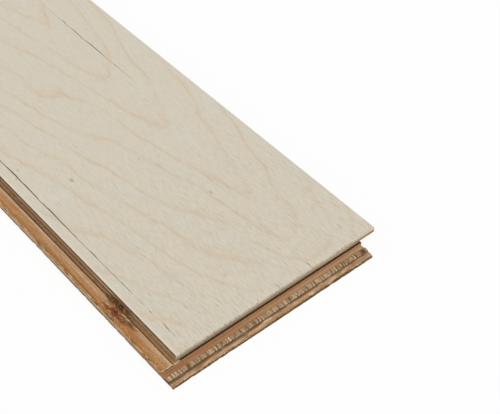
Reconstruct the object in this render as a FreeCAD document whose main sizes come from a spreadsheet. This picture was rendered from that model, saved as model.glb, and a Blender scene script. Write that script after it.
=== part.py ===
"""Engineered plank floorboard: a sawn face veneer on a five-ply core, milled with locking edges.

Frame, in millimetres: +X along the board towards its end lip, +Y towards the tongue, +Z up.
The origin is under the middle of the board's box, on the surface that the board lies on.
"""
import os

import FreeCAD, Part
import Sketcher

doc = FreeCAD.newDocument("floorboard")
sheet = doc.addObject("Spreadsheet::Sheet", "Sizes")

# Points closer than this are the same point
TOUCH = 1e-4

# Driving dimensions
DRIVING = (
    # The face that is walked on
    ("board_length", 1220.0),
    ("board_width", 165.0),
    ("edge_ease", 0.3),
    # The layers, from the face down
    ("face_veneer_thickness", 2.2),
    ("upper_long_thickness", 2.0),
    ("upper_cross_thickness", 3.0),
    ("middle_long_thickness", 2.7),
    ("lower_cross_thickness", 1.3),
    ("backing_thickness", 1.5),
    # Room left between two boards that are locked together
    ("fit_gap", 0.1),
    ("lip_gap", 0.2),
    # Long edges: a groove over a long lip on one, a round-nosed tongue on the other
    ("long_lip_reach", 11.0),
    ("long_lip_bevel", 0.8),
    ("groove_depth", 2.7),
    ("nose_radius", 1.2),
    ("channel_radius", 3.4),
    ("channel_depth", 0.8),
    ("channel_offset", 0.4),
    # Short ends: a lip with a standing ridge, and the hook that drops behind it
    ("end_lip_reach", 11.0),
    ("end_lip_bevel", 1.2),
    ("end_slot_depth", 2.0),
    ("end_channel_width", 3.2),
    ("end_ridge_height", 1.7),
    ("end_ridge_width", 2.7),
    ("end_ridge_lead", 0.3),
    ("end_ridge_slope", 0.7),
    ("end_ledge_drop", 0.4),
)

# Sizes worked out from the driving dimensions; heights are from the underside
DERIVED = (
    # Heights of the layers' undersides
    ("lower_cross_base", "backing_thickness"),
    ("middle_long_base", "lower_cross_base + lower_cross_thickness"),
    ("upper_cross_base", "middle_long_base + middle_long_thickness"),
    ("upper_long_base", "upper_cross_base + upper_cross_thickness"),
    ("face_veneer_base", "upper_long_base + upper_long_thickness"),
    ("board_top", "face_veneer_base + face_veneer_thickness"),
    ("ease_base", "board_top - edge_ease"),
    # Heights along the end profile
    ("end_ridge_top", "middle_long_base + end_ridge_height"),
    ("hook_base", "middle_long_base + fit_gap"),
    ("end_ledge", "middle_long_base - end_ledge_drop"),
    ("end_bevel_base", "end_ledge - end_lip_bevel"),
    # Long profile, measured across from the outer edge of the long lip
    ("tongue_top", "upper_long_base - fit_gap"),
    ("long_lip_top", "upper_cross_base - fit_gap"),
    ("long_lip_bevel_base", "long_lip_top - long_lip_bevel"),
    ("channel_centre", "long_lip_reach - channel_offset"),
    ("channel_centre_height", "long_lip_top - channel_depth + channel_radius"),
    ("groove_edge", "long_lip_reach"),
    ("groove_root", "groove_edge + groove_depth"),
    ("groove_edge_eased", "groove_edge + edge_ease"),
    ("tongue_edge", "groove_edge + board_width"),
    ("tongue_edge_eased", "tongue_edge - edge_ease"),
    ("long_set_back", "tongue_edge - long_lip_reach - lip_gap"),
    ("overall_width", "tongue_edge + groove_depth - lip_gap"),
    # End profile, measured along from the face's far edge
    ("near_edge_eased", "board_length - edge_ease"),
    ("end_slot_root", "board_length - end_slot_depth"),
    ("end_channel_edge", "board_length + end_channel_width"),
    ("end_ridge_inside", "end_channel_edge + end_ridge_lead"),
    ("end_ridge_outside", "end_ridge_inside + end_ridge_width"),
    ("end_ridge_foot", "end_ridge_outside + end_ridge_slope"),
    ("overall_length", "board_length + end_lip_reach"),
    ("end_ledge_edge", "overall_length - end_lip_bevel"),
    ("hook_inside", "end_channel_width - fit_gap"),
    ("hook_shoulder", "hook_inside + end_ridge_lead"),
    ("end_set_back", "end_lip_reach + lip_gap"),
    ("main_run", "board_length - end_set_back"),
    ("hook_run", "long_set_back - groove_root"),
)

# The layers of full size: name, cells of the underside's height and of the thickness
SHEETS = (
    ("backing_ply", None, "backing_thickness"),
    ("lower_cross_ply", "lower_cross_base", "lower_cross_thickness"),
    ("upper_cross_ply", "upper_cross_base", "upper_cross_thickness"),
    ("upper_long_ply", "upper_long_base", "upper_long_thickness"),
    ("face_veneer", "face_veneer_base", "face_veneer_thickness"),
)

# The end lock is milled right through the middle ply, which leaves a main sheet and two strips of it:
# name, cells of where it starts along and across the board, and of how far it runs each way
MIDDLE_PIECES = (
    ("middle_long_ply", "end_set_back", None, "main_run", "overall_width"),
    ("end_ridge_strip", "board_length", None, "end_lip_reach", "overall_width"),
    ("end_hook_strip", None, "groove_root", "end_set_back", "hook_run"),
)

# Corners of the long profile: (across, height), None where it is zero
LONG_CORNERS = (
    (None, None),
    ("long_set_back", None),
    ("long_set_back", "upper_cross_base"),
    ("overall_width", "upper_cross_base"),
    ("overall_width", "tongue_top"),
    ("tongue_edge", "tongue_top"),
    ("tongue_edge", "ease_base"),
    ("tongue_edge_eased", "board_top"),
    ("groove_edge_eased", "board_top"),
    ("groove_edge", "ease_base"),
    ("groove_edge", "upper_long_base"),
    ("groove_root", "upper_long_base"),
    ("groove_root", "long_lip_top"),
    ("long_lip_bevel", "long_lip_top"),
    (None, "long_lip_bevel_base"),
)

# Corners of the end profile: (along, height)
END_CORNERS = (
    ("end_set_back", None),
    ("overall_length", None),
    ("overall_length", "end_bevel_base"),
    ("end_ledge_edge", "end_ledge"),
    ("end_ridge_foot", "end_ledge"),
    ("end_ridge_outside", "end_ridge_top"),
    ("end_ridge_inside", "end_ridge_top"),
    ("end_channel_edge", "middle_long_base"),
    ("board_length", "middle_long_base"),
    ("board_length", "upper_cross_base"),
    ("end_slot_root", "upper_cross_base"),
    ("end_slot_root", "upper_long_base"),
    ("board_length", "upper_long_base"),
    ("board_length", "ease_base"),
    ("near_edge_eased", "board_top"),
    ("edge_ease", "board_top"),
    (None, "ease_base"),
    (None, "upper_long_base"),
    ("fit_gap", "upper_long_base"),
    ("fit_gap", "hook_base"),
    ("hook_inside", "hook_base"),
    ("hook_shoulder", "upper_cross_base"),
    ("end_set_back", "upper_cross_base"),
)


def fill_sheet():
    """Write every size to the sheet, one row each, with its name as the alias."""
    row = 0
    for alias, value in DRIVING:
        row += 1
        sheet.set(f"A{row}", alias)
        sheet.set(f"B{row}", str(value))
        sheet.setAlias(f"B{row}", alias)
    for alias, formula in DERIVED:
        row += 1
        sheet.set(f"A{row}", alias)
        sheet.set(f"B{row}", "=" + formula)
        sheet.setAlias(f"B{row}", alias)
    doc.recompute()


def size(alias):
    """The value of a cell, with zero for no cell."""
    return float(sheet.get(alias)) if alias else 0.0


def bind(thing, path, alias):
    """Tie a property to a cell of the sheet."""
    thing.setExpression(path, f"Sizes.{alias}")


def tie_point(sketch, geometry, end, across, height):
    """Hold one point of a sketch at the place that two cells give."""
    for kind, alias in (("DistanceX", across), ("DistanceY", height)):
        index = sketch.addConstraint(Sketcher.Constraint(kind, geometry, end, size(alias)))
        if alias:
            bind(sketch, f"Constraints[{index}]", alias)


def new_sketch(body, name, role):
    """An empty sketch on one of the body's own origin planes."""
    sketch = body.newObject("Sketcher::SketchObject", name)
    plane = next(item for item in body.Origin.OriginFeatures if item.Role == role)
    sketch.AttachmentSupport = [(plane, "")]
    sketch.MapMode = "FlatFace"
    return sketch


def outline_sketch(body, name, role, corners):
    """A closed outline of straight runs through the given corners."""
    sketch = new_sketch(body, name, role)
    points = [FreeCAD.Vector(size(across), size(height), 0) for across, height in corners]
    count = len(points)
    for index in range(count):
        run = Part.LineSegment(points[index], points[(index + 1) % count])
        sketch.addGeometry(run, False)
    for index in range(count):
        following = (index + 1) % count
        sketch.addConstraint(Sketcher.Constraint("Coincident", index, 2, following, 1))
        tie_point(sketch, index, 1, *corners[index])
    return sketch


def channel_sketch(body, name):
    """The round-bottomed channel along the root of the long lip: an arc closed by the lip's top."""
    sketch = new_sketch(body, name, "YZ_Plane")
    rise = size("channel_centre_height") - size("long_lip_top")
    half_width = (size("channel_radius") ** 2 - rise ** 2) ** 0.5
    centre = FreeCAD.Vector(size("channel_centre"), size("channel_centre_height"), 0)
    left = centre + FreeCAD.Vector(-half_width, -rise, 0)
    right = centre + FreeCAD.Vector(half_width, -rise, 0)
    low = centre + FreeCAD.Vector(0, -size("channel_radius"), 0)
    arc = sketch.addGeometry(Part.Arc(left, low, right), False)
    line = sketch.addGeometry(Part.LineSegment(right, left), False)
    sketch.addConstraint(Sketcher.Constraint("Coincident", arc, 2, line, 1))
    sketch.addConstraint(Sketcher.Constraint("Coincident", line, 2, arc, 1))
    sketch.addConstraint(Sketcher.Constraint("Horizontal", line))
    tie_point(sketch, arc, 3, "channel_centre", "channel_centre_height")
    index = sketch.addConstraint(Sketcher.Constraint("Radius", arc, size("channel_radius")))
    bind(sketch, f"Constraints[{index}]", "channel_radius")
    index = sketch.addConstraint(Sketcher.Constraint("DistanceY", line, 1, size("long_lip_top")))
    bind(sketch, f"Constraints[{index}]", "long_lip_top")
    return sketch


def extrude(body, kind, name, sketch, length, reverse):
    """Pad or pocket a sketch by a cell's length, and check that it changed the solid as it should."""
    before = body.Shape.Volume if body.Tip else 0.0
    feature = body.newObject(kind, name)
    feature.Profile = sketch
    bind(feature, "Length", length)
    feature.Reversed = reverse
    doc.recompute()
    grew = body.Shape.Volume > before
    if grew != (kind == "PartDesign::Pad"):
        raise RuntimeError(f"{name} did not change the solid as it should")


def round_nose(body):
    """Round the two edges along the tongue's tip."""
    carrier = body.Tip
    tip = size("overall_width")
    edges = [f"Edge{number}" for number, edge in enumerate(carrier.Shape.Edges, 1)
             if all(abs(point.Y - tip) < TOUCH for point in edge.Vertexes)
             and abs(edge.Vertexes[0].Z - edge.Vertexes[-1].Z) < TOUCH]
    nose = body.newObject("PartDesign::Fillet", "Nose")
    nose.Base = (carrier, edges)
    bind(nose, "Radius", "nose_radius")
    doc.recompute()


def place(thing, along=None, across=None, height=None):
    """Put a thing at the place that the cells give, in the frame of the board's box."""
    for axis, middle, alias in (("x", "overall_length", along), ("y", "overall_width", across)):
        offset = f" + Sizes.{alias}" if alias else ""
        bind(thing, f"Placement.Base.{axis}", f"{middle} * -0.5{offset}")
    if height:
        bind(thing, "Placement.Base.z", height)


def long_profile():
    """The long edges' profile, run along the board."""
    body = doc.addObject("PartDesign::Body", "LongProfile")
    section = outline_sketch(body, "LongSection", "YZ_Plane", LONG_CORNERS)
    extrude(body, "PartDesign::Pad", "LongBlank", section, "overall_length", False)
    channel = channel_sketch(body, "ChannelSection")
    extrude(body, "PartDesign::Pocket", "Channel", channel, "overall_length", True)
    round_nose(body)
    place(body)
    return body


def end_profile():
    """The short ends' profile, run across the board."""
    body = doc.addObject("PartDesign::Body", "EndProfile")
    section = outline_sketch(body, "EndSection", "XZ_Plane", END_CORNERS)
    extrude(body, "PartDesign::Pad", "EndBlank", section, "overall_width", True)
    place(body)
    return body


def layer(milled, name, height, thickness, along=None, across=None,
          run="overall_length", width="overall_width"):
    """One piece: its sheet of wood, cut to what both profiles leave of it."""
    wood = doc.addObject("Part::Box", f"{name}_sheet")
    bind(wood, "Length", run)
    bind(wood, "Width", width)
    bind(wood, "Height", thickness)
    place(wood, along, across, height)
    cut = doc.addObject("Part::Common", name)
    cut.Label = name
    cut.Base = milled
    cut.Tool = wood
    return cut


def check(pieces):
    """Stop if any object failed, or if a layer isn't one sound solid."""
    for thing in doc.Objects:
        if "Invalid" in thing.State or "Error" in thing.State:
            raise RuntimeError(f"{thing.Name} failed: {thing.State}")
    for piece in pieces:
        shape = piece.Shape
        if shape.isNull() or not shape.isValid() or len(shape.Solids) != 1:
            raise RuntimeError(f"{piece.Label} is not one sound solid")


fill_sheet()
milled_board = doc.addObject("Part::Common", "MilledBoard")
milled_board.Base = long_profile()
milled_board.Tool = end_profile()
layers = [layer(milled_board, *row) for row in SHEETS]
for name, *room in MIDDLE_PIECES:
    layers.append(layer(milled_board, name, "middle_long_base", "middle_long_thickness", *room))
doc.recompute()
check(layers)

os.makedirs("parts", exist_ok=True)
for piece in layers:
    piece.Shape.exportStep(f"parts/{piece.Label}.step")
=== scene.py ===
"""Looks of an engineered plank floorboard: whitewashed birch face, plywood core, milled locking edges."""
import math

import bmesh
import bpy
from mathutils import Matrix, Vector, noise


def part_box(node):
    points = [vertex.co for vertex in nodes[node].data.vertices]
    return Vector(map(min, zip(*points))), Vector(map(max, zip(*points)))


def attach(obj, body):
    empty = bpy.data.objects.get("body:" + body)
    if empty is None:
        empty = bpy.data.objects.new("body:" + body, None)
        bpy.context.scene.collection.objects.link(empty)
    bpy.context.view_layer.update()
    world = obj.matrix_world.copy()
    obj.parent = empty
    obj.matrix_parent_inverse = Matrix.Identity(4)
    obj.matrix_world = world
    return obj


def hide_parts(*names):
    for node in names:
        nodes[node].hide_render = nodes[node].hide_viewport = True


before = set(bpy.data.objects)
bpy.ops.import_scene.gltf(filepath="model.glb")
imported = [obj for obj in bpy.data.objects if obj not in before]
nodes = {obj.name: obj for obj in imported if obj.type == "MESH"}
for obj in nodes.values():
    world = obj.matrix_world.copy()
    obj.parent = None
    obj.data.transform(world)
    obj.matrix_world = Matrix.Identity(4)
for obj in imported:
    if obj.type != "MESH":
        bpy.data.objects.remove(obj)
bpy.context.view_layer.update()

MM = 0.001

# Corners of the layers in millimetres
FACE_LOW, FACE_HIGH = (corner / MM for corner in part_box("face_veneer"))
LIP_LOW, LIP_HIGH = (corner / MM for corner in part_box("middle_long_ply"))
RIDGE_LOW, RIDGE_HIGH = (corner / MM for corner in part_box("end_ridge_strip"))
LEDGE_LOW, LEDGE_HIGH = (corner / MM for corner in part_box("lower_cross_ply"))
BACK_LOW, BACK_HIGH = (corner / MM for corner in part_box("backing_ply"))
FACE_WIDTH = FACE_HIGH.y - FACE_LOW.y
LIP_REACH = FACE_LOW.y - LIP_LOW.y
END_REACH = BACK_HIGH.x - FACE_HIGH.x


# Colours and nodes

def linear(hex_colour):
    """An sRGB hex colour as linear RGBA."""
    parts = [int(hex_colour[place:place + 2], 16) / 255 for place in (0, 2, 4)]
    return [part / 12.92 if part <= 0.04045 else ((part + 0.055) / 1.055) ** 2.4 for part in parts] + [1.0]


def add(tree, kind, inputs=(), **settings):
    """Add a node with its settings and links, and return the first of its outputs that is in use.

    A kind without a family name is a shader node. Inputs are values or sockets, in the node's order or by
    name, and stops fill a colour ramp.
    """
    node = tree.nodes.new(kind if "Node" in kind else "ShaderNode" + kind)
    stops = settings.pop("stops", ())
    for name, value in settings.items():
        setattr(node, name, value)
    for place, (position, colour) in enumerate(stops):
        elements = node.color_ramp.elements
        if place == 0:
            elements.remove(elements[1])
            elements[0].position = position
        element = elements.new(position) if place else elements[0]
        element.color = linear(colour)
    named = inputs if isinstance(inputs, dict) else dict(enumerate(inputs))
    for socket, value in named.items():
        if isinstance(value, bpy.types.NodeSocket):
            tree.links.new(value, node.inputs[socket])
        else:
            node.inputs[socket].default_value = value
    return next((socket for socket in node.outputs if socket.enabled), None)


def pattern(tree, place, size, detail, roughness=0.5, distortion=0.0):
    """Noise whose patches have a size in millimetres along each axis; 0 leaves an axis out."""
    scale = [1 / length if length else 0.0 for length in size]
    stretched = add(tree, "Mapping", {"Vector": place, "Scale": scale})
    return add(tree, "TexNoise", {"Vector": stretched, "Scale": 1.0, "Detail": detail, "Roughness": roughness,
                                  "Distortion": distortion})


def paint(tree, colour, tone, share, between=None, most=1.0, within=None, blend="MIX"):
    """Lay a tone, hex or socket, over a colour by a share, or as a value goes between two, within a mask."""
    if between:
        share = add(tree, "MapRange", (share, *between, 0.0, most))
    if within:
        share = add(tree, "Math", (share, within), operation="MULTIPLY")
    tone = linear(tone) if isinstance(tone, str) else tone
    return add(tree, "Mix", {"Factor": share, "A": colour, "B": tone}, data_type="RGBA", blend_type=blend)


def on_board(tree, place):
    """The distance behind the face's near end, the distance from its groove edge and the height."""
    x, y, height = add(tree, "SeparateXYZ", (place,)).node.outputs
    behind = add(tree, "Math", (FACE_HIGH.x, x), operation="SUBTRACT")
    across = add(tree, "Math", (y, FACE_LOW.y), operation="SUBTRACT")
    return behind, across, height


def reach_from(tree, place, behind, across, scale_along, scale_across):
    """How far a surface is from a mark on the board, scaled along the board and across it."""
    centre = (FACE_HIGH.x - behind, FACE_LOW.y + across, 0.0)
    offset = add(tree, "VectorMath", (place, centre), operation="SUBTRACT")
    scaled = add(tree, "VectorMath", (offset, (scale_along, scale_across, 0.0)), operation="MULTIPLY")
    return add(tree, "VectorMath", (scaled,), operation="LENGTH")


def facing(tree):
    """How far the surface faces along the board, across it and upwards."""
    normal = add(tree, "NewGeometry").node.outputs["Normal"]
    return add(tree, "SeparateXYZ", (normal,)).node.outputs


def empty_tree(owner):
    """The cleared node tree of a material or a world."""
    owner.use_nodes = True
    owner.node_tree.nodes.clear()
    return owner.node_tree


def start_material(name):
    """A material with Object coordinates in millimetres."""
    material = bpy.data.materials.new(name)
    tree = empty_tree(material)
    metres = add(tree, "TexCoord").node.outputs["Object"]
    place = add(tree, "Mapping", {"Vector": metres, "Scale": (1 / MM, 1 / MM, 1 / MM)})
    return material, tree, place


def finish_material(tree, colour, roughness, relief, strength, depth):
    """Shade a material by its colour, roughness and relief, whose depth is in millimetres."""
    bump = add(tree, "Bump", {"Height": relief, "Strength": strength, "Distance": depth * MM})
    shader = add(tree, "BsdfPrincipled", {"Base Color": colour, "Roughness": roughness, "Normal": bump})
    add(tree, "OutputMaterial", {"Surface": shader})


def dress(node_name, material):
    """Give a CAD node one material."""
    mesh = nodes[node_name].data
    mesh.materials.clear()
    mesh.materials.append(material)


# Face: birch veneer, cut flat, whitewashed and matt oiled. The eye sees pale cream wood with faint tan growth
# arches that point to the near end, fine grey pores along the grain and a few dark hairline checks.

# Growth lines: from one to the next, where their count starts behind the near end, how many they wander
GROWTH_PITCH = 80.0
GROWTH_START = 245.0
GROWTH_WANDER = 1.3
GROWTH_STOPS = ((0.0, "D3CAB8"), (0.12, "D5CDBC"), (0.5, "D5CDBC"), (0.81, "D4CBB8"), (0.94, "D0C1A9"))
# How many more crowd in at the near end, and how far behind it
END_CROWDING = 1.06
END_CROWD_REACH = 28.0
# How far the growth lines lag behind the arch's tip, from the groove edge to the tongue edge
ARCH_RINGS = 6.0
ARCH_LAG = ((0.0, 1.0), (0.15, 0.84), (0.25, 0.67), (0.35, 0.48), (0.42, 0.38), (0.53, 0.29),
            (0.59, 0.18), (0.65, 0.06), (0.727, 0.0), (0.82, 0.06), (0.92, 0.2), (1.0, 0.32))
# Checks: distance from the groove edge, where they open and close behind the near end, half width
CHECKS = ((8.2, 45.0, 430.0, 0.36), (8.6, 12.5, 28.0, 0.22), (8.5, 34.5, 39.5, 0.24),
          (131.4, 222.0, 360.0, 0.38), (64.0, 610.0, 720.0, 0.3), (109.5, 0.0, 8.0, 0.26),
          (82.4, 0.0, 5.0, 0.18), (65.4, 0.0, 3.5, 0.14))
# How far they wander across, how uneven their width is, and how long they take to open and close
CHECK_WANDER = 2.4
CHECK_UNEVEN = 3.2
CHECK_EASE = 90.0
# Pin knots: distance behind the near end, from the groove edge, radius, strength
PIN_KNOTS = ((165.0, 35.2, 1.7, 0.5), (94.6, 102.3, 1.3, 0.4), (197.0, 12.5, 1.0, 0.5),
             (64.5, 78.3, 1.2, 0.2), (153.0, 84.0, 0.9, 0.45), (14.3, 43.4, 0.5, 0.6),
             (163.5, 26.9, 0.5, 0.4), (87.0, 156.2, 0.6, 0.5), (190.0, 6.9, 0.6, 0.5),
             (520.0, 120.0, 1.6, 0.4), (760.0, 48.0, 1.4, 0.5), (905.0, 96.0, 1.2, 0.4))
# Their length counts for less than their width, and fibre makes them ragged
PIN_LENGTH_SHARE = 0.55
PIN_RAGGED = 3.5


def growth_lines(tree, place, behind, across):
    """Which growth line a place is on, counted along the board; its fraction is the place between two."""
    counted = add(tree, "Math", (behind, -1 / GROWTH_PITCH, GROWTH_START / GROWTH_PITCH),
                  operation="MULTIPLY_ADD")
    fall = add(tree, "Math", (behind, -1 / END_CROWD_REACH), operation="MULTIPLY")
    crowd = add(tree, "Math", (fall,), operation="EXPONENT")
    crowded = add(tree, "Math", (crowd, END_CROWDING, counted), operation="MULTIPLY_ADD")
    share = add(tree, "Math", (across, 1 / FACE_WIDTH), operation="MULTIPLY")
    lag = add(tree, "FloatCurve", {"Value": share})
    bends = lag.node.mapping
    points = bends.curves[0].points
    while len(points) < len(ARCH_LAG):
        points.new(0.5, 0.5)
    for point, spot in zip(points, ARCH_LAG):
        point.location = spot
    bends.update()
    lagged = add(tree, "Math", (lag, ARCH_RINGS, crowded), operation="MULTIPLY_ADD")
    wander = add(tree, "Math", (pattern(tree, place, (75, 26, 0), 3.0), 0.5), operation="SUBTRACT")
    return add(tree, "Math", (wander, GROWTH_WANDER, lagged), operation="MULTIPLY_ADD")


def check_marks(tree, place, behind, across):
    """Where hairline cracks run along the grain, in dashes where they open and close."""
    breaks = pattern(tree, place, (16, 60, 0), 4.0)
    uneven = add(tree, "Math", (breaks, 0.5), operation="SUBTRACT")
    dark = 0.0
    for centre, start, stop, half_width in CHECKS:
        ease = min(CHECK_EASE, (stop - start) / 2)
        line = add(tree, "Math", (breaks, CHECK_WANDER, centre - CHECK_WANDER / 2), operation="MULTIPLY_ADD")
        gap = add(tree, "Math", (across, line), operation="SUBTRACT")
        gap = add(tree, "Math", (gap,), operation="ABSOLUTE")
        opened = add(tree, "MapRange", (behind, start - 1, start + ease, 0.1, 1.0))
        closed = add(tree, "MapRange", (behind, stop - ease, stop, 0.0, 1.4))
        room = add(tree, "Math", (opened, closed), operation="SUBTRACT")
        width = add(tree, "Math", (uneven, CHECK_UNEVEN, room), operation="MULTIPLY_ADD")
        width = add(tree, "Math", (width, half_width), operation="MULTIPLY")
        begun = add(tree, "Math", (behind, start - 1), operation="GREATER_THAN")
        edge = add(tree, "Math", (width, gap), operation="SUBTRACT")
        mask = add(tree, "MapRange", (edge, -0.12, 0.2))
        mask = add(tree, "Math", (mask, begun), operation="MULTIPLY")
        dark = add(tree, "Math", (dark, mask), operation="MAXIMUM")
    return dark


def face_material():
    """Whitewashed birch."""
    material, tree, place = start_material("whitewashed_birch_veneer")
    behind, across, _ = on_board(tree, place)

    # Growth lines, thinned by soft blotches of pink and grey that are a few centimetres across
    phase = add(tree, "Math", (growth_lines(tree, place, behind, across),), operation="FRACT")
    growth = add(tree, "ValToRGB", (phase,), stops=GROWTH_STOPS)
    blotch = pattern(tree, place, (42, 19, 0), 4.0)
    tint = add(tree, "ValToRGB", (blotch,), stops=((0.32, "D5CEBF"), (0.5, "D7CEBC"), (0.7, "DACAB5")))
    thin = add(tree, "MapRange", (blotch, 0.3, 0.65, 0.9, 0.12))
    faint = add(tree, "MapRange", (behind, 0.0, 90.0, 1.35, 0.75))
    thin = add(tree, "Math", (thin, faint), operation="MULTIPLY")
    colour = paint(tree, growth, tint, thin)

    # Fibre along the grain, 0.6 mm wide and 6 mm long, and grey pores as short dashes. Real pores are 0.1 mm
    # wide; here they are 0.5 mm, so that they show.
    fibre = pattern(tree, place, (6, 0.6, 0.6), 4.0, roughness=0.65)
    fibre_tint = add(tree, "ValToRGB", (fibre,), stops=((0.3, "D8D1C4"), (0.62, "FFFFFF")))
    plain = add(tree, "MapRange", (behind, 40.0, 160.0, 0.55, 0.36))
    colour = paint(tree, colour, fibre_tint, plain, blend="MULTIPLY")
    pore = pattern(tree, place, (9, 0.5, 0.5), 1.0)
    pore = add(tree, "MapRange", (pore, 0.64, 0.74))
    nearer = add(tree, "MapRange", (behind, 260.0, 0.0, 0.3, 0.5))
    pores = add(tree, "Math", (pore, nearer), operation="MULTIPLY")
    colour = paint(tree, colour, "9E8E74", pores)

    # Checks, and pin knots as small grey flecks that are ragged along the grain
    dark = check_marks(tree, place, behind, across)
    for back, over, radius, strength in PIN_KNOTS:
        reach = reach_from(tree, place, back, over, PIN_LENGTH_SHARE, 1.0)
        ragged = add(tree, "Math", (fibre, PIN_RAGGED * radius, reach), operation="MULTIPLY_ADD")
        mask = add(tree, "MapRange", (ragged, 2.7 * radius, 1.7 * radius, 0.0, strength))
        dark = add(tree, "Math", (dark, mask), operation="MAXIMUM")
    colour = paint(tree, colour, "3B2C20", dark)

    # Painted highlight: the eased edge along the groove side is painted paler, as where it catches the light
    colour = paint(tree, colour, "E8DECB", across, (2.2, 0.2), 0.7)

    # Cut edges: the end is pale with upright ticks; the long sides are painted dark brown, as painted shade
    # on the sides that turn from the light
    ticks = pattern(tree, place, (3, 1.4, 4), 3.0)
    end_colour = add(tree, "ValToRGB", (ticks,), stops=((0.3, "A39682"), (0.42, "C2B5A0"), (0.6, "D2C6B0")))
    shaded_side_colour = add(tree, "ValToRGB", (ticks,), stops=((0.3, "50381F"), (0.65, "806340")))
    faces_along, faces_across, _ = facing(tree)
    endwise = add(tree, "Math", (faces_along,), operation="ABSOLUTE")
    sidewise = add(tree, "Math", (faces_across,), operation="ABSOLUTE")
    colour = paint(tree, colour, end_colour, endwise, (0.4, 0.7))
    colour = paint(tree, colour, shaded_side_colour, sidewise, (0.5, 0.8))

    # Brushed surface: the pores and checks are hollows
    rough = add(tree, "MapRange", (fibre, 0.0, 1.0, 0.55, 0.7))
    hollow = add(tree, "Math", (dark, 2.0, pores), operation="MULTIPLY_ADD")
    relief = add(tree, "Math", (fibre, hollow), operation="SUBTRACT")
    finish_material(tree, colour, rough, relief, strength=0.35, depth=0.12)
    return material


# Core: raw tropical veneer, rotary cut, glued and milled. The eye sees brown wood with straight streaks along
# each layer's own grain, and darker, speckled wood where the cutter crossed the grain.

RAW_ROUGHNESS = 0.82


def raw_ply(name, grain_along, flat_stops, end_stops, streak_width, streak_length):
    """One layer's wood, begun: its colour and grain, for the milled edges to build on."""
    material, tree, place = start_material(name)
    size = [streak_width, streak_width, streak_width]
    size[0 if grain_along else 1] = streak_length
    grain = pattern(tree, place, size, 5.0, roughness=0.65, distortion=0.3)
    flat = add(tree, "ValToRGB", (grain,), stops=flat_stops)
    cut = add(tree, "ValToRGB", (grain,), stops=end_stops)
    endwise = add(tree, "Math", (facing(tree)[0 if grain_along else 1],), operation="ABSOLUTE")
    colour = paint(tree, flat, cut, endwise, (0.5, 0.8))
    return material, tree, place, colour, grain


def finish_ply(tree, colour, grain):
    """Shade a layer's wood with its grain as relief."""
    finish_material(tree, colour, RAW_ROUGHNESS, grain, strength=0.6, depth=0.3)


def plain_ply(*wood):
    """One layer's wood with nothing milled in it."""
    material, tree, _, colour, grain = raw_ply(*wood)
    finish_ply(tree, colour, grain)
    return material


# Layer under the face: grey-tan wood, sawn across at the ends. The eye sees a dark glue line under the
# veneer, and the wood turns paler and then orange-brown towards the tongue.

# Tints towards the tongue: from and to how far from the tongue edge, strength, tone
TONGUE_TINTS = ((80.0, 35.0, 0.5, "CDBC9C"), (26.0, 8.0, 0.85, "96652F"))
# Heights from and to which the glue line shows, from the veneer, and where the groove side's darker patch is
GLUE_LINE = (-0.6, -0.1)
SIDE_DARK_PATCH = 54.0


def under_face_material():
    """The core layer that carries the face."""
    material, tree, place, colour, grain = raw_ply(
        "grey_ply_sawn", True, ((0.34, "8A6848"), (0.5, "CBA782"), (0.64, "DFC19C")),
        ((0.3, "7D6C52"), (0.5, "A69478"), (0.7, "BBA988")), 0.8, 30.0)
    behind, across, height = on_board(tree, place)
    for start, stop, most, tone in TONGUE_TINTS:
        colour = paint(tree, colour, tone, across, (FACE_WIDTH - start, FACE_WIDTH - stop), most)
    above_glue = add(tree, "Math", (height, FACE_LOW.z), operation="SUBTRACT")
    colour = paint(tree, colour, "6B5A42", above_glue, GLUE_LINE, 0.6)

    # A darker patch on the groove side, over the knot of the lip
    away = add(tree, "Math", (behind, SIDE_DARK_PATCH), operation="SUBTRACT")
    away = add(tree, "Math", (away,), operation="ABSOLUTE")
    away = add(tree, "Math", (grain, 12.0, away), operation="MULTIPLY_ADD")
    groove_side = add(tree, "Math", (across, FACE_WIDTH / 2), operation="LESS_THAN")
    colour = paint(tree, colour, "4E2E14", away, (20.0, 13.0), 0.58, groove_side)
    finish_ply(tree, colour, grain)
    return material


# Long lip: orange-tan wood milled along the grain. Outwards from the face the eye sees a brown channel, a
# dark crease, a pale crest, the orange lip and a torn pale edge, with a red-brown knot near the end.

# The bands are dark in under the face and at the crease between the channel and the crest: painted shade in
# the recess and the crease
LIP_STOPS = ((0.0, "6A4F34"), (0.15, "BE9668"), (0.24, "C69C6E"), (0.29, "B98C5E"), (0.308, "9E7244"),
             (0.325, "684424"), (0.362, "603E20"), (0.378, "BA9262"), (0.394, "DEC09C"), (0.47, "D4B28A"),
             (0.6, "C4976A"), (0.76, "C0905A"), (0.87, "A6753E"), (0.94, "9E6F3A"), (0.965, "E0AE74"),
             (1.0, "D8A872"))
# How far the bands reach in under the face, how far they sway, and how ragged they are beyond the crease
LIP_INNER = 3.0
LIP_SWAY = 1.2
LIP_RAGGED = 1.8
# Specks: the noise from and to which they darken or lighten the lip, and their tones
LIP_SPECKS = ((0.56, 0.68, "7E5228"), (0.42, 0.32, "E0BE90"))
# The outer side, soiled near the end and paler behind: from and to how far behind, strength, tone
LIP_SOIL = ((34.0, 12.0, 0.25, "7E6040"), (30.0, 52.0, 0.4, "F0D2A8"))
# Knot marks: distance behind the near end and outwards from the face, reach along and across, colours
KNOT_MARKS = ((55.0, 5.8, 14.5, 3.8, ((0.0, "703008"), (0.6, "984C0E"), (1.0, "AC6A20"))),
              (58.5, 0.7, 13.0, 3.0, ((0.0, "7C4812"), (0.5, "925E1E"), (1.0, "9E6E30"))),
              (40.0, 4.3, 6.0, 1.7, ((0.0, "7A4E22"), (0.5, "8C5E2E"), (1.0, "A47844"))),
              (702.0, 5.0, 9.0, 3.4, ((0.0, "3A2213"), (0.5, "6E3F1E"), (1.0, "96602E"))))
# How far a knot bends the bands, and how many rings it has in its reach
KNOT_BEND = 6.0
KNOT_RINGS = 3.0


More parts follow.
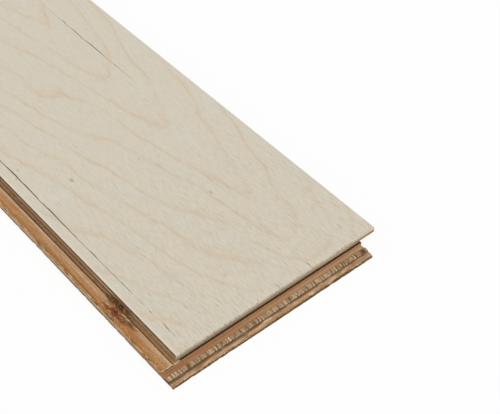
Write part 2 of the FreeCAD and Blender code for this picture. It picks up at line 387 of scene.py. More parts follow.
def lip_bands(tree, place, outward, outer, flake, bend, uneven):
    """Bands outwards from the face: straight up to the crease, beyond it ragged and bent at the knots."""
    ragged = add(tree, "Math", (flake, 0.5), operation="SUBTRACT")
    ragged = add(tree, "Math", (ragged, outer), operation="MULTIPLY")
    sway = pattern(tree, place, (28, 0, 0), 4.0)
    swayed = add(tree, "Math", (sway, LIP_SWAY, outward), operation="MULTIPLY_ADD")
    swayed = add(tree, "Math", (ragged, LIP_RAGGED, swayed), operation="MULTIPLY_ADD")
    swayed = add(tree, "Math", (bend, uneven, swayed), operation="MULTIPLY_ADD")
    band = add(tree, "MapRange", (swayed, LIP_SWAY / 2 - LIP_INNER, LIP_SWAY / 2 + LIP_REACH))
    return add(tree, "ValToRGB", (band,), stops=LIP_STOPS)


def mill_marks(tree, place, lip, behind, outward, outer, grain):
    """Cutter ripples in the channel, painted light on the channel floor near the end, then specks, streaks
    and patches.
    """
    inner = add(tree, "Math", (1.0, outer), operation="SUBTRACT")
    lip = paint(tree, lip, "5E4A30", pattern(tree, place, (2.6, 1.8, 1.8), 3.0), (0.52, 0.68), 0.5, inner)
    speck = pattern(tree, place, (1.6, 0.9, 0.9), 2.0)
    for start, stop, tone in LIP_SPECKS:
        lip = paint(tree, lip, tone, speck, (start, stop), 0.5, outer)
    # Painted light: the channel floor is painted paler towards the near end
    floor = add(tree, "MapRange", (outward, 1.9, 1.1))
    lip = paint(tree, lip, "E0B684", behind, (46.0, 34.0), 0.42, floor)
    streak = add(tree, "ValToRGB", (grain,), stops=((0.28, "8C7358"), (0.42, "D8CBBB"), (0.6, "FFFFFF")))
    lip = paint(tree, lip, streak, 0.75, blend="MULTIPLY")
    return paint(tree, lip, "A9662C", pattern(tree, place, (22, 3.5, 3.5), 3.0), (0.5, 0.7), 0.55, outer)


def torn_flakes(tree, place, behind, outward, flake):
    """Where flakes stand along the outer edge, in groups, and where they have gone."""
    group = pattern(tree, place, (40, 0, 0), 2.0)
    sliver = pattern(tree, place, (8, 1, 1), 4.0, roughness=0.65)
    rim = add(tree, "MapRange", (outward, 9.7, 10.3, 0.0, 0.26))
    fewer = add(tree, "MapRange", (behind, 40.0, 90.0, -0.36, -0.27))
    standing = add(tree, "Math", (group, 0.5, fewer), operation="MULTIPLY_ADD")
    for more in (sliver, rim):
        standing = add(tree, "Math", (standing, more), operation="ADD")
    standing = add(tree, "MapRange", (standing, 0.72, 0.78, 0.0, 0.9))
    gone = add(tree, "Math", (rim, -0.7, flake), operation="MULTIPLY_ADD")
    gone = add(tree, "MapRange", (gone, 0.27, 0.22, 0.0, 0.8))
    return standing, gone


def knot_hearts(tree, lip, reaches, uneven):
    """The lip with stained hearts in it, and where their rings and the cracks round them are dark."""
    crack = add(tree, "Math", (uneven,), operation="ABSOLUTE")
    crack = add(tree, "MapRange", (crack, 0.022, 0.008))
    dark = 0.0
    for reach, (*_, heart_stops) in zip(reaches, KNOT_MARKS):
        rounded = add(tree, "Math", (uneven, 2.0, reach), operation="MULTIPLY_ADD")
        heart = add(tree, "ValToRGB", (rounded,), stops=heart_stops)
        lip = paint(tree, lip, heart, rounded, (1.1, 0.4), 0.9)
        ring = add(tree, "Math", (rounded, KNOT_RINGS), operation="MULTIPLY")
        ring = add(tree, "Math", (ring,), operation="FRACT")
        ring = add(tree, "MapRange", (ring, 0.72, 0.98, 0.0, 0.5))
        marks = add(tree, "Math", (ring, crack), operation="MAXIMUM")
        near_knot = add(tree, "MapRange", (reach, 1.15, 0.7))
        marks = add(tree, "Math", (marks, near_knot), operation="MULTIPLY")
        dark = add(tree, "Math", (dark, marks), operation="MAXIMUM")
    return lip, dark


def painted_slot_shade(tree, behind, outward, height, faces_up, not_end):
    """Painted shade: where the floor of the slot under the face is painted near black, and a dark line along
    the top of the end under the overhang.
    """
    slot_shade = add(tree, "MapRange", (behind, -0.2, 0.2))
    before_back = add(tree, "MapRange", (behind, 1.5, 1.0))
    upward = add(tree, "Math", (faces_up, 0.8), operation="GREATER_THAN")
    inside = add(tree, "Math", (outward, -LIP_INNER), operation="LESS_THAN")
    for mask in (before_back, upward, inside):
        slot_shade = add(tree, "Math", (slot_shade, mask), operation="MULTIPLY")
    depth = add(tree, "MapRange", (outward, -LIP_INNER, 0.0, 0.3, 1.0))
    below = add(tree, "Math", (LIP_HIGH.z, height), operation="SUBTRACT")
    line = add(tree, "Math", (depth, below), operation="SUBTRACT")
    line = add(tree, "MapRange", (line, -0.2, 0.2, 0.0, 0.85))
    at_end = add(tree, "Math", (1.0, not_end), operation="SUBTRACT")
    line = add(tree, "Math", (line, at_end), operation="MULTIPLY")
    return add(tree, "Math", (slot_shade, line), operation="MAXIMUM")


def lip_material():
    """The middle layer, with its milled lip."""
    material, tree, place, colour, grain = raw_ply(
        "orange_ply_milled", True, ((0.3, "8E6238"), (0.5, "B48A5C"), (0.7, "CBA57A")),
        ((0.3, "9A704A"), (0.5, "C4946A"), (0.7, "D4A87C")), 0.8, 40.0)
    behind, across, height = on_board(tree, place)
    outward = add(tree, "Math", (0.0, across), operation="SUBTRACT")
    outer = add(tree, "MapRange", (outward, 2.4, 4.0))
    flake = pattern(tree, place, (7, 1.3, 1.3), 3.0)

    # How near each knot is, and how far it bends the bands round it
    swirl = pattern(tree, place, (5, 2, 2), 4.0, distortion=0.6)
    uneven = add(tree, "Math", (swirl, 0.5), operation="SUBTRACT")
    reaches = []
    bend = 0.0
    for back, out, reach_along, reach_across, _ in KNOT_MARKS:
        reach = reach_from(tree, place, back, -out, 1 / reach_along, 1 / reach_across)
        reaches.append(reach)
        near_knot = add(tree, "MapRange", (reach, 1.7, 0.6, 0.0, KNOT_BEND))
        bend = add(tree, "Math", (bend, near_knot), operation="MAXIMUM")

    # Bands and milling marks, flakes that are whitish where they stand, and knots with pale lines round them
    lip = lip_bands(tree, place, outward, outer, flake, bend, uneven)
    lip = mill_marks(tree, place, lip, behind, outward, outer, grain)
    standing, gone = torn_flakes(tree, place, behind, outward, flake)
    lip = paint(tree, lip, "CDB28C", standing)
    lip = paint(tree, lip, "4A3826", gone)
    lip, cracked = knot_hearts(tree, lip, reaches, uneven)
    pale = add(tree, "Math", (uneven, 0.075, 0.016), operation="COMPARE")
    for share in (bend, 0.11):
        pale = add(tree, "Math", (pale, share), operation="MULTIPLY")
    lip = paint(tree, lip, "301606", cracked)
    lip = paint(tree, lip, "DDBB90", pale)

    # Pores of the brown wood: dark dashes along the grain
    lip = paint(tree, lip, "7A512B", pattern(tree, place, (5, 0.6, 0.6), 2.0), (0.62, 0.72), 0.6)

    # The lip's near end is broken: a pale ragged line along its edge, partly torn pale fibre and partly a
    # painted highlight on the edge
    broken_edge_and_highlight = add(tree, "Math", (flake, 2.4, -0.3), operation="MULTIPLY_ADD")
    broken_edge_and_highlight = add(tree, "Math", (broken_edge_and_highlight, behind), operation="SUBTRACT")
    before_rim = add(tree, "MapRange", (outward, 10.2, 9.4))
    lip = paint(tree, lip, "DCC8AC", broken_edge_and_highlight, (-0.2, 0.2), 0.6, before_rim)

    # The bands belong to the lip and its outer side, and the end keeps its own wood
    faces_along, faces_across, faces_up = facing(tree)
    not_end = add(tree, "MapRange", (faces_along, 0.8, 0.5))
    on_lip = add(tree, "Math", (outward, -LIP_INNER), operation="GREATER_THAN")
    on_lip = add(tree, "Math", (on_lip, not_end), operation="MULTIPLY")
    colour = paint(tree, colour, lip, on_lip)
    sideways = add(tree, "Math", (faces_across, -0.8), operation="LESS_THAN")
    for start, stop, most, tone in LIP_SOIL:
        colour = paint(tree, colour, tone, behind, (start, stop), most, sideways)
    # Painted shade, near black, in the slot under the face and along the top of the end
    slot_shade = painted_slot_shade(tree, behind, outward, height, faces_up, not_end)
    colour = paint(tree, colour, "2A1404", slot_shade)

    # Flakes stand up and cracks go down
    relief = add(tree, "Math", (standing, 1.5, grain), operation="MULTIPLY_ADD")
    relief = add(tree, "Math", (relief, cracked), operation="SUBTRACT")
    finish_material(tree, colour, RAW_ROUGHNESS, relief, strength=0.7, depth=0.4)
    return material


# End lip: tan wood milled across the board. Outwards from the face the eye sees a brown floor, the foot of
# the ridge in shade, a tan ledge and a dark, rough bevel, all with streaks across the board.

END_STOPS = ((0.0, "A97C54"), (0.06, "BA8C62"), (0.21, "AC7F58"), (0.28, "68492F"), (0.62, "70553A"),
             (0.665, "92724E"), (0.71, "C29C76"), (0.86, "C29B73"), (0.91, "B8946C"), (0.945, "8C7250"),
             (1.0, "463A29"))
# How far the bands sway along the end
END_SWAY = 2.0
# How far the shade at the ridge's foot spreads over the ledge, and where it ends, from the groove edge
FOOT_SHADE = 0.9
FOOT_SHADE_END = 118.25
# Where the floor turns paler, from the groove edge
PALE_FLOOR = (33.25, 93.25)
# Patches on the ledge: the noise from and to which it darkens or lightens the wood, and its tones; the dark
# patches are dirt and painted shade
LEDGE_DIRT_AND_SHADE_PATCHES = ((0.52, 0.66, "755638"), (0.44, 0.34, "E0C29C"))


def end_lip_material():
    """The lower cross layer, with the near end's channel floor and ledge."""
    material, tree, place, colour, grain = raw_ply(
        "tan_ply_cross_milled", False, ((0.3, "8A5F3C"), (0.5, "A9794F"), (0.7, "BE916A")),
        ((0.3, "8A6A4C"), (0.5, "B8946E"), (0.7, "D0B08A")), 0.7, 30.0)
    behind, across, _ = on_board(tree, place)
    outward = add(tree, "Math", (0.0, behind), operation="SUBTRACT")

    # Bands outwards from the face, with streaks and a warmer hue here and there
    sway = pattern(tree, place, (0, 14, 0), 4.0)
    swayed = add(tree, "Math", (sway, END_SWAY, outward), operation="MULTIPLY_ADD")
    spread = add(tree, "MapRange", (across, 0.0, FOOT_SHADE_END, FOOT_SHADE, 0.0))
    swayed = add(tree, "Math", (swayed, spread), operation="SUBTRACT")
    band = add(tree, "MapRange", (swayed, END_SWAY / 2, END_SWAY / 2 + END_REACH))
    lip = add(tree, "ValToRGB", (band,), stops=END_STOPS)
    streak = add(tree, "ValToRGB", (grain,), stops=((0.28, "9A8268"), (0.42, "DCD0C0"), (0.6, "FFFFFF")))
    lip = paint(tree, lip, streak, 0.7, blend="MULTIPLY")
    hue = pattern(tree, place, (6, 35, 0), 2.0)
    lip = paint(tree, lip, "E0B08A", hue, (0.45, 0.65), 0.3, blend="MULTIPLY")

    # The floor is paler away from the groove edge, and the ledge is darker and paler in patches, the dark
    # ones dirt and painted shade
    on_floor = add(tree, "MapRange", (outward, 3.4, 2.8))
    lip = paint(tree, lip, "BFA47C", across, PALE_FLOOR, 0.45, on_floor)
    on_ledge = add(tree, "MapRange", (outward, 6.6, 7.4))
    ledge_patches = pattern(tree, place, (2, 9, 2), 4.0)
    for start, stop, tone in LEDGE_DIRT_AND_SHADE_PATCHES:
        lip = paint(tree, lip, tone, ledge_patches, (start, stop), 0.7, on_ledge)
    on_lip = add(tree, "Math", (outward, 0.0), operation="GREATER_THAN")
    colour = paint(tree, colour, lip, on_lip)
    finish_ply(tree, colour, grain)
    return material


# Backing: sawn veneer, rough at its cut edges, which are painted near black, partly dirt and partly painted
# shade along the bottom rim. The eye sees dull brown wood with black spots along the broken rim.

def backing_material():
    """The bottom layer."""
    material, tree, place, colour, grain = raw_ply(
        "brown_backing_sawn", True, ((0.3, "5E4628"), (0.5, "86653F"), (0.7, "A5855C")),
        ((0.3, "231D15"), (0.5, "4A4133"), (0.7, "78705C")), 1.2, 70.0)
    # The rim is spotted near black: dirt and painted shade along the bottom edge
    level = add(tree, "Math", (facing(tree)["Z"],), operation="ABSOLUTE")
    rim = add(tree, "MapRange", (level, 0.9, 0.6))
    spots = pattern(tree, place, (5, 4, 2), 4.0, roughness=0.7)
    colour = paint(tree, colour, "1F1811", spots, (0.47, 0.58), 0.9, rim)
    finish_ply(tree, colour, grain)
    return material


# Ridge and fibres: pale wood torn across the grain. The eye sees light bundles of fibre side by side, with
# dark gaps where bundles have broken out.

# From one light stripe of the ridge to the next, in millimetres
COMB_PITCH = 2.4
TORN_ROUGHNESS = 0.88


def torn_material(name, stops, bundle_size, foot, comb=0.0):
    """Torn wood whose colour changes from bundle to bundle, striped by a comb, and dark at its foot from dirt
    and painted shade.
    """
    material, tree, place = start_material(name)
    shade = pattern(tree, place, bundle_size, 3.0, roughness=0.6)
    _, y, height = add(tree, "SeparateXYZ", (place,)).node.outputs
    if comb:
        swing = add(tree, "Math", (y, 2 * math.pi / COMB_PITCH), operation="MULTIPLY")
        swing = add(tree, "Math", (shade, 6.0, swing), operation="MULTIPLY_ADD")
        swing = add(tree, "Math", (swing,), operation="SINE")
        shade = add(tree, "Math", (swing, comb, shade), operation="MULTIPLY_ADD")
    colour = add(tree, "ValToRGB", (shade,), stops=stops)
    # Dirt and painted shade: darker towards the foot
    uneven = add(tree, "Math", (shade, 2.0, height), operation="MULTIPLY_ADD")
    colour = paint(tree, colour, "3B2A1C", uneven, (foot + 1.5, foot + 0.7), 0.6)
    finish_material(tree, colour, TORN_ROUGHNESS, shade, strength=0.5, depth=0.3)
    return material


# Torn pieces, grown by Geometry Nodes

def start_tree(name, sizes):
    """A Geometry Nodes tree with named inputs, its group input and the identifiers of the inputs."""
    tree = bpy.data.node_groups.new(name, "GeometryNodeTree")
    tree.interface.new_socket(name="Geometry", in_out="OUTPUT", socket_type="NodeSocketGeometry")
    names = {}
    for label, kind in sizes:
        socket = tree.interface.new_socket(name=label, in_out="INPUT", socket_type="NodeSocket" + kind)
        names[label] = socket.identifier
    return tree, add(tree, "NodeGroupInput").node.outputs, names


def grow(piece_name, tree, names, values):
    """Run a tree and keep its result as a plain mesh that rides on the board."""
    seed_mesh = bpy.data.meshes.new(piece_name + "_seed")
    seed = bpy.data.objects.new(piece_name + "_seed", seed_mesh)
    bpy.context.scene.collection.objects.link(seed)
    modifier = seed.modifiers.new("tree", "NODES")
    modifier.node_group = tree
    for label, value in values.items():
        modifier[names[label]] = value
    seen = seed.evaluated_get(bpy.context.evaluated_depsgraph_get())
    mesh = bpy.data.meshes.new_from_object(seen)
    mesh.name = piece_name
    bpy.data.objects.remove(seed)
    bpy.data.meshes.remove(seed_mesh)
    return place_piece(piece_name, mesh)


def place_piece(piece_name, mesh):
    """Link a mesh as a piece of the board."""
    piece = bpy.data.objects.new(piece_name, mesh)
    bpy.context.scene.collection.objects.link(piece)
    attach(piece, "root")
    return piece


# Torn surface: noise per metre along each axis, the noise that moves nothing, and the pushes in metres
TEAR_NOISE = (900.0, 1400.0, 700.0)
TEAR_MIDDLE = (0.5, 0.5, 0.85)
TEAR_PUSH = (0.00045, 0.00025, 0.0003)
# How much of the ridge's height its root strip takes
ROOT_SHARE = 0.45


def ridge_tree():
    """Bundles of fibre side by side on a broken root strip."""
    tree, given, names = start_tree("torn_ridge", (
        ("Foot", "Vector"), ("Length", "Float"), ("Width", "Float"), ("Height", "Float"), ("Bundles", "Int"),
        ("Missing", "Float"), ("Gap", "Float"), ("Material", "Material"), ("Seed", "Int")))

    # Root strip, cut into two slices for each bundle
    root_height = add(tree, "Math", (given["Height"], ROOT_SHARE), operation="MULTIPLY")
    root_size = add(tree, "CombineXYZ", (given["Width"], given["Length"], root_height))
    slices = add(tree, "Math", (given["Bundles"], 2.0, 1.0), operation="MULTIPLY_ADD")
    root = add(tree, "GeometryNodeMeshCube", (root_size, 4, slices, 3))
    half_length = add(tree, "Math", (given["Length"], 0.5), operation="MULTIPLY")
    half_height = add(tree, "Math", (root_height, 0.5), operation="MULTIPLY")
    lift = add(tree, "CombineXYZ", (0.0, half_length, half_height))
    root = add(tree, "GeometryNodeSetPosition", {"Geometry": root, "Offset": lift})

    # One bundle: a block on a unit foot, narrower at the top, leaning in from the outer side
    block = add(tree, "GeometryNodeMeshCube", ((1, 1, 1), 5, 3, 3))
    position = add(tree, "GeometryNodeInputPosition")
    x, y, z = add(tree, "SeparateXYZ", (position,)).node.outputs
    rise = add(tree, "Math", (z, 0.5), operation="ADD")
    slim_x = add(tree, "Math", (rise, -0.24, 1.0), operation="MULTIPLY_ADD")
    slim_x = add(tree, "Math", (x, slim_x), operation="MULTIPLY")
    lean_x = add(tree, "Math", (rise, -0.06, slim_x), operation="MULTIPLY_ADD")
    slim_y = add(tree, "Math", (rise, -0.12, 1.0), operation="MULTIPLY_ADD")
    slim_y = add(tree, "Math", (y, slim_y), operation="MULTIPLY")
    shaped = add(tree, "CombineXYZ", (lean_x, slim_y, rise))
    block = add(tree, "GeometryNodeSetPosition", {"Geometry": block, "Position": shaped})

    # Bundles in a row, uneven in width and height, some broken out, most of them round the gap
    step = add(tree, "Math", (given["Length"], given["Bundles"]), operation="DIVIDE")
    half_step = add(tree, "Math", (step, 0.5), operation="MULTIPLY")
    first = add(tree, "CombineXYZ", (0.0, half_step))
    stride = add(tree, "CombineXYZ", (0.0, step))
    row = add(tree, "GeometryNodeMeshLine", {"Count": given["Bundles"], "Start Location": first,
                                             "Offset": stride})
    away = add(tree, "Math", (y, given["Gap"]), operation="SUBTRACT")
    away = add(tree, "Math", (away,), operation="ABSOLUTE")
    more = add(tree, "MapRange", (away, 0.004, 0.012, 0.5, 0.0))
    chance = add(tree, "Math", (given["Missing"], more), operation="ADD")
    lost = add(tree, "FunctionNodeRandomValue", {"Probability": chance, "Seed": given["Seed"]},
               data_type="BOOLEAN")
    row = add(tree, "GeometryNodeDeleteGeometry", {"Geometry": row, "Selection": lost})
    uneven = add(tree, "FunctionNodeRandomValue",
                 {"Min": (0.84, 0.84, 0.66), "Max": (0.98, 1.08, 0.97), "Seed": given["Seed"]},
                 data_type="FLOAT_VECTOR")
    size = add(tree, "CombineXYZ", (given["Width"], step, given["Height"]))
    size = add(tree, "VectorMath", (size, uneven), operation="MULTIPLY")
    bundles = add(tree, "GeometryNodeInstanceOnPoints", {"Points": row, "Instance": block, "Scale": size})
    bundles = add(tree, "GeometryNodeRealizeInstances", {"Geometry": bundles})
    joined = add(tree, "GeometryNodeJoinGeometry", {"Geometry": root})
    tree.links.new(bundles, joined.node.inputs["Geometry"])

    # Torn surfaces: small pushes sideways and down, hardly any upwards, above the foot
    spread = add(tree, "VectorMath", (position, TEAR_NOISE), operation="MULTIPLY")
    push = add(tree, "TexNoise", {"Vector": spread, "Scale": 1.0, "Detail": 2.0}).node.outputs["Color"]
    push = add(tree, "VectorMath", (push, TEAR_MIDDLE), operation="SUBTRACT")
    push = add(tree, "VectorMath", (push, TEAR_PUSH), operation="MULTIPLY")
    loose = add(tree, "Math", (z, 0.4 * MM), operation="GREATER_THAN")
    torn = add(tree, "GeometryNodeSetPosition", {"Geometry": joined, "Selection": loose, "Offset": push})
    moved = add(tree, "GeometryNodeTransform", {"Geometry": torn, "Translation": given["Foot"]})
    final = add(tree, "GeometryNodeSetMaterial", {"Geometry": moved, "Material": given["Material"]})
    add(tree, "NodeGroupOutput", {"Geometry": final})
    return tree, names


def splinter_tree():
    """Splinters of fibre that lie along a broken edge, in patches."""
    tree, given, names = start_tree("edge_splinters", (
        ("Start", "Vector"), ("Step", "Vector"), ("Count", "Int"), ("Turn", "Vector"), ("Small", "Vector"),
        ("Large", "Vector"), ("Spread", "Vector"), ("Patch", "Float"), ("Bare", "Float"),
        ("Material", "Material"), ("Seed", "Int")))

    # One splinter: a flat sliver, pointed at both ends
    sliver = add(tree, "GeometryNodeMeshCube", ((1, 1, 1), 6, 3, 2))
    position = add(tree, "GeometryNodeInputPosition")
    x, y, z = add(tree, "SeparateXYZ", (position,)).node.outputs
    far = add(tree, "Math", (x, x), operation="MULTIPLY")
    slim = add(tree, "Math", (far, -3.6, 1.0), operation="MULTIPLY_ADD")
    slim_y = add(tree, "Math", (y, slim), operation="MULTIPLY")
    slim_z = add(tree, "Math", (z, slim), operation="MULTIPLY")
    shaped = add(tree, "CombineXYZ", (x, slim_y, slim_z))
    sliver = add(tree, "GeometryNodeSetPosition", {"Geometry": sliver, "Position": shaped})

    # A row of places along the edge, thinned to patches and shifted
    row = add(tree, "GeometryNodeMeshLine", {"Count": given["Count"], "Start Location": given["Start"],
                                             "Offset": given["Step"]})
    patch = add(tree, "TexNoise", {"Vector": position, "Scale": given["Patch"], "Detail": 3.0})
    bare = add(tree, "Math", (patch, given["Bare"]), operation="LESS_THAN")
    row = add(tree, "GeometryNodeDeleteGeometry", {"Geometry": row, "Selection": bare})
    back = add(tree, "VectorMath", {"Vector": given["Spread"], "Scale": -1.0}, operation="SCALE")
    shift = add(tree, "FunctionNodeRandomValue", {"Min": back, "Max": given["Spread"], "Seed": given["Seed"]},
                data_type="FLOAT_VECTOR")
    row = add(tree, "GeometryNodeSetPosition", {"Geometry": row, "Offset": shift})
    second = add(tree, "Math", (given["Seed"], 1.0), operation="ADD")
    size = add(tree, "FunctionNodeRandomValue",
               {"Min": given["Small"], "Max": given["Large"], "Seed": second}, data_type="FLOAT_VECTOR")
    sway = add(tree, "FunctionNodeRandomValue",
               {"Min": (-0.15, -0.03, -0.05), "Max": (0.15, 0.03, 0.05), "Seed": second},
               data_type="FLOAT_VECTOR")
    turn = add(tree, "VectorMath", (given["Turn"], sway), operation="ADD")
    laid = add(tree, "GeometryNodeInstanceOnPoints", {"Points": row, "Instance": sliver, "Rotation": turn,
                                                      "Scale": size})
    real = add(tree, "GeometryNodeRealizeInstances", {"Geometry": laid})
    final = add(tree, "GeometryNodeSetMaterial", {"Geometry": real, "Material": given["Material"]})
    add(tree, "NodeGroupOutput", {"Geometry": final})
    return tree, names


# The ridge stands a little inside the groove side, and is broken off near its far end but for a stub
RIDGE_INSET = 0.2
RIDGE_BREAK = 4.6
STUB_LENGTH = 1.5
# Its bundles, their room for torn fibre, and where more are missing, from the groove edge
RIDGE_BUNDLES = 146
RIDGE_ROOM = 0.3
RIDGE_GAP = 52.0
RIDGE_COMB = 0.042
RIDGE_STOPS = ((0.36, "684C32"), (0.45, "947656"), (0.53, "B49A78"), (0.64, "D2BE9E"))


def build_ridge():
    """The near end's standing ridge, torn by the cutter, in place of the plain strip."""
    tree, names = ridge_tree()
    wood = torn_material("pale_ply_torn", RIDGE_STOPS, (14, 0.8, 2.5), RIDGE_LOW.z, RIDGE_COMB)
    middle = (RIDGE_LOW.x + RIDGE_HIGH.x) / 2
    start = RIDGE_LOW.y + RIDGE_INSET
    length = RIDGE_HIGH.y - RIDGE_BREAK - start
    stub_start = RIDGE_HIGH.y - RIDGE_INSET - STUB_LENGTH
    shared = {"Width": (RIDGE_HIGH.x - RIDGE_LOW.x - RIDGE_ROOM) * MM,
              "Height": (RIDGE_HIGH.z - RIDGE_LOW.z) * MM, "Missing": 0.06,
              "Gap": (FACE_LOW.y + RIDGE_GAP - start) * MM, "Material": wood, "Seed": 7}
    ridge = grow("torn_end_ridge", tree, names, {
        "Foot": Vector((middle, start, RIDGE_LOW.z)) * MM, "Length": length * MM, "Bundles": RIDGE_BUNDLES,
        **shared})
    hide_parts("end_ridge_strip")
    stub = grow("ridge_stub", tree, names, {
        "Foot": Vector((middle, stub_start, RIDGE_LOW.z)) * MM, "Length": STUB_LENGTH * MM, "Bundles": 2,
        **shared})


# Distance from one splinter's place to the next, and the bare ends of their rows
LIP_FIBRE_STEP = 1.5
LIP_FIBRE_BARE = 8.0
LIP_END_STEP = 0.5
END_FIBRE_STEP = 1.1
END_FIBRE_BARE = 3.0


def build_splinters():
    """Pale fibres along the long lip's broken edge and end, and dark ones along the end lip's bevel."""
    tree, names = splinter_tree()
    pale = torn_material("pale_fibre_torn", ((0.32, "8A6A48"), (0.45, "B8936C"), (0.6, "DBC3A2")), (4, 1, 1),
                         LIP_LOW.z)
    dark = torn_material("dark_fibre_torn", ((0.35, "14100B"), (0.5, "2C261D"), (0.65, "6A5F4B")), (1, 4, 1),
                         BACK_LOW.z)
    lip = grow("lip_edge_fibres", tree, names, {
        "Start": Vector((LIP_LOW.x + LIP_FIBRE_BARE, LIP_LOW.y + 0.55, LIP_HIGH.z - 0.3)) * MM,
        "Step": Vector((LIP_FIBRE_STEP, 0, 0)) * MM,
        "Count": int((LIP_HIGH.x - LIP_LOW.x - 2 * LIP_FIBRE_BARE) / LIP_FIBRE_STEP),
        "Turn": Vector((math.radians(40), 0, 0)),
        "Small": Vector((1.5, 0.25, 0.12)) * MM, "Large": Vector((7.0, 0.65, 0.25)) * MM,
        "Spread": Vector((1.5, 0.22, 0.08)) * MM, "Patch": 80.0, "Bare": 0.52, "Material": pale, "Seed": 3})
    torn_end = grow("lip_end_fibres", tree, names, {
        "Start": Vector((LIP_HIGH.x - 0.3, LIP_LOW.y + 1.2, LIP_HIGH.z - 0.1)) * MM,
        "Step": Vector((0, LIP_END_STEP, 0)) * MM, "Count": 14, "Turn": Vector((0, 0, math.radians(90))),
        "Small": Vector((0.5, 0.2, 0.12)) * MM, "Large": Vector((1.8, 0.5, 0.25)) * MM,
        "Spread": Vector((0.2, 0.2, 0.05)) * MM, "Patch": 300.0, "Bare": 0.4, "Material": pale, "Seed": 5})
    end = grow("end_edge_fibres", tree, names, {
        "Start": Vector((LEDGE_HIGH.x - 0.1, LEDGE_LOW.y + END_FIBRE_BARE, LEDGE_LOW.z + 0.1)) * MM,
        "Step": Vector((0, END_FIBRE_STEP, 0)) * MM,
        "Count": int((LEDGE_HIGH.y - LEDGE_LOW.y - 2 * END_FIBRE_BARE) / END_FIBRE_STEP),
        "Turn": Vector((0, math.radians(45), math.radians(90))),
        "Small": Vector((0.6, 0.2, 0.12)) * MM, "Large": Vector((2.6, 0.45, 0.25)) * MM,
        "Spread": Vector((0.08, 0.6, 0.12)) * MM, "Patch": 90.0, "Bare": 0.45, "Material": dark, "Seed": 11})


# Backing sheet with a rim that the saw has torn along the lips

RIM_STEP = 1.1
RIM_TEAR = 0.55
# Lengths of the long and the short tears, how much the short ones count, and how much of the rim stays whole
LONG_TEAR, SHORT_TEAR = 3.1, 1.2
SHORT_SHARE = 0.6
WHOLE_BELOW = 0.15
# Levels of the noise for the bottom and the top rim, and its start along the near end
RIM_LEVELS = (0.0, 3.0)
END_NOISE_START = 5000.0


def rim_tear(along, level):
    """How far the rim is torn in at a place along it, in millimetres."""
    long_tear = noise.noise(Vector((along / LONG_TEAR, level, 0.5)))
    short_tear = noise.noise(Vector((along / SHORT_TEAR, level, 7.5)))
    return RIM_TEAR * min(1.0, max(0.0, long_tear + SHORT_SHARE * short_tear - WHOLE_BELOW))


def build_backing(material):
    """The bottom layer as a closed sheet: torn along the groove side and the near end, straight elsewhere."""
    length = BACK_HIGH.x - BACK_LOW.x
    width = BACK_HIGH.y - BACK_LOW.y
    long_count = int(length / RIM_STEP)
    end_count = int(width / RIM_STEP)
    shell = bmesh.new()
    rings = []
    for height, level in zip((BACK_LOW.z, BACK_HIGH.z), RIM_LEVELS):
        ring = []
        for step in range(long_count):
            along = length * step / long_count
            tear = 0.0 if step == 0 else rim_tear(along, level)
            ring.append((BACK_LOW.x + along, BACK_LOW.y + tear, height))
        for step in range(end_count):
            along = width * step / end_count
            tear = rim_tear(along + END_NOISE_START, level)
            ring.append((BACK_HIGH.x - tear, BACK_LOW.y + along, height))
        ring.append((BACK_HIGH.x, BACK_HIGH.y, height))
        ring.append((BACK_LOW.x, BACK_HIGH.y, height))
        rings.append([shell.verts.new(Vector(spot) * MM) for spot in ring])
    low, high = rings
    for place in range(len(low)):
        after = (place + 1) % len(low)
        shell.faces.new((low[place], low[after], high[after], high[place]))
    shell.faces.new(high)
    shell.faces.new(list(reversed(low)))
    bmesh.ops.triangulate(shell, faces=[face for face in shell.faces if len(face.verts) > 4])
    bmesh.ops.recalc_face_normals(shell, faces=shell.faces)
    mesh = bpy.data.meshes.new("torn_backing")
    shell.to_mesh(mesh)
    shell.free()
    mesh.materials.append(material)
    backing = place_piece("torn_backing", mesh)
    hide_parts("backing_ply")


def dress_layers():
    """Give every layer its wood."""
    dress("face_veneer", face_material())
    dress("upper_long_ply", under_face_material())
    # The upper cross layer's side grain is painted pale: painted light, so that its end face in the shaded
    # slot under the face shows light
    dress("upper_cross_ply", plain_ply(
        "brown_ply_cross_sawn", False, ((0.3, "C8AA84"), (0.5, "E0C6A2"), (0.7, "ECD8BA")),
        ((0.3, "5A3A22"), (0.5, "84603C"), (0.7, "A07A50")), 0.9, 40.0))
    dress("middle_long_ply", lip_material())
    dress("end_hook_strip", plain_ply(
        "orange_ply_sawn", True, ((0.3, "8E6238"), (0.5, "B48A5C"), (0.7, "CBA57A")),
        ((0.3, "6B4A2E"), (0.5, "94704A"), (0.7, "B08A60")), 0.9, 40.0))
    dress("lower_cross_ply", end_lip_material())


# Stage: white floor and backdrop, soft light from above and a little from the near end

FLOOR_HALF = 6.0
FLOOR_DROP = 0.0002
FLOOR_GLOW = 0.88
SKY_LIGHT, SKY_SEEN = 0.55, 1.0
KEY_ENERGY = 1.5
KEY_SPREAD = math.radians(50)
TOWARDS_KEY = Vector((0.4, 0.08, 0.9))


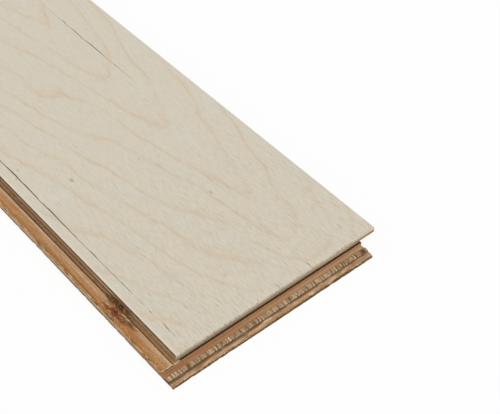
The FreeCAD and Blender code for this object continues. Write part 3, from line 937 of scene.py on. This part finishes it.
def build_stage():
    """A white floor that keeps a faint shadow, and even studio light."""
    scene = bpy.context.scene
    scene.view_settings.view_transform = "Standard"
    mesh = bpy.data.meshes.new("floor")
    corners = [(FLOOR_HALF * x, FLOOR_HALF * y, 0) for x, y in ((-1, -1), (1, -1), (1, 1), (-1, 1))]
    mesh.from_pydata(corners, [], [(0, 1, 2, 3)])
    floor = bpy.data.objects.new("floor", mesh)
    floor.location.z = -FLOOR_DROP
    scene.collection.objects.link(floor)
    material = bpy.data.materials.new("white_paper")
    tree = empty_tree(material)
    paper = add(tree, "BsdfDiffuse", {"Color": linear("F6F6F4")})
    glow = add(tree, "Emission", {"Color": (1, 1, 1, 1), "Strength": 1.0})
    share = add(tree, "Math", (seen_directly(tree), FLOOR_GLOW), operation="MULTIPLY")
    mixed = add(tree, "MixShader", (share, paper, glow))
    add(tree, "OutputMaterial", {"Surface": mixed})
    mesh.materials.append(material)

    world = bpy.data.worlds.new("studio")
    scene.world = world
    tree = empty_tree(world)
    strength = add(tree, "MapRange", (seen_directly(tree), 0.0, 1.0, SKY_LIGHT, SKY_SEEN))
    background = add(tree, "Background", {"Color": (1, 1, 1, 1), "Strength": strength})
    add(tree, "OutputWorld", {"Surface": background})

    lamp = bpy.data.lights.new("key", "SUN")
    lamp.energy = KEY_ENERGY
    lamp.angle = KEY_SPREAD
    key = bpy.data.objects.new("key", lamp)
    key.rotation_euler = TOWARDS_KEY.to_track_quat("Z", "Y").to_euler()
    scene.collection.objects.link(key)


def seen_directly(tree):
    """1 where the camera sees the surface, also by reflection or through glass."""
    seen = add(tree, "LightPath").node.outputs
    direct = add(tree, "Math", (seen["Is Camera Ray"], seen["Is Glossy Ray"]), operation="MAXIMUM")
    return add(tree, "Math", (direct, seen["Is Transmission Ray"]), operation="MAXIMUM")


# Camera: where the photograph was taken from, in face widths from the face's near corner

CAMERA_OFFSET = Vector((2.060, -1.393, 3.310))
CAMERA_FORWARD = Vector((-0.5333, 0.4503, -0.7161))
CAMERA_RIGHT = Vector((0.6417, 0.7670, 0.0044))
IMAGE_WIDTH_PX = 500
FOCAL_PX = 1134.0
SENSOR_MM = 36.0
CLIP_START = 0.01


def build_camera():
    """A camera at the photograph's viewpoint."""
    camera = bpy.data.cameras.new("camera")
    camera.sensor_width = SENSOR_MM
    camera.lens = FOCAL_PX / IMAGE_WIDTH_PX * SENSOR_MM
    camera.clip_start = CLIP_START
    eye = bpy.data.objects.new("camera", camera)
    corner = Vector((FACE_HIGH.x, FACE_LOW.y, FACE_HIGH.z))
    place = (corner + CAMERA_OFFSET * FACE_WIDTH) * MM
    back = -CAMERA_FORWARD.normalized()
    right = (CAMERA_RIGHT - CAMERA_RIGHT.dot(back) * back).normalized()
    up = back.cross(right)
    turn = Matrix((right, up, back)).transposed().to_4x4()
    eye.matrix_world = Matrix.Translation(place) @ turn
    bpy.context.scene.collection.objects.link(eye)
    bpy.context.scene.camera = eye


build_camera()
build_stage()
dress_layers()
build_ridge()
build_splinters()
build_backing(backing_material())
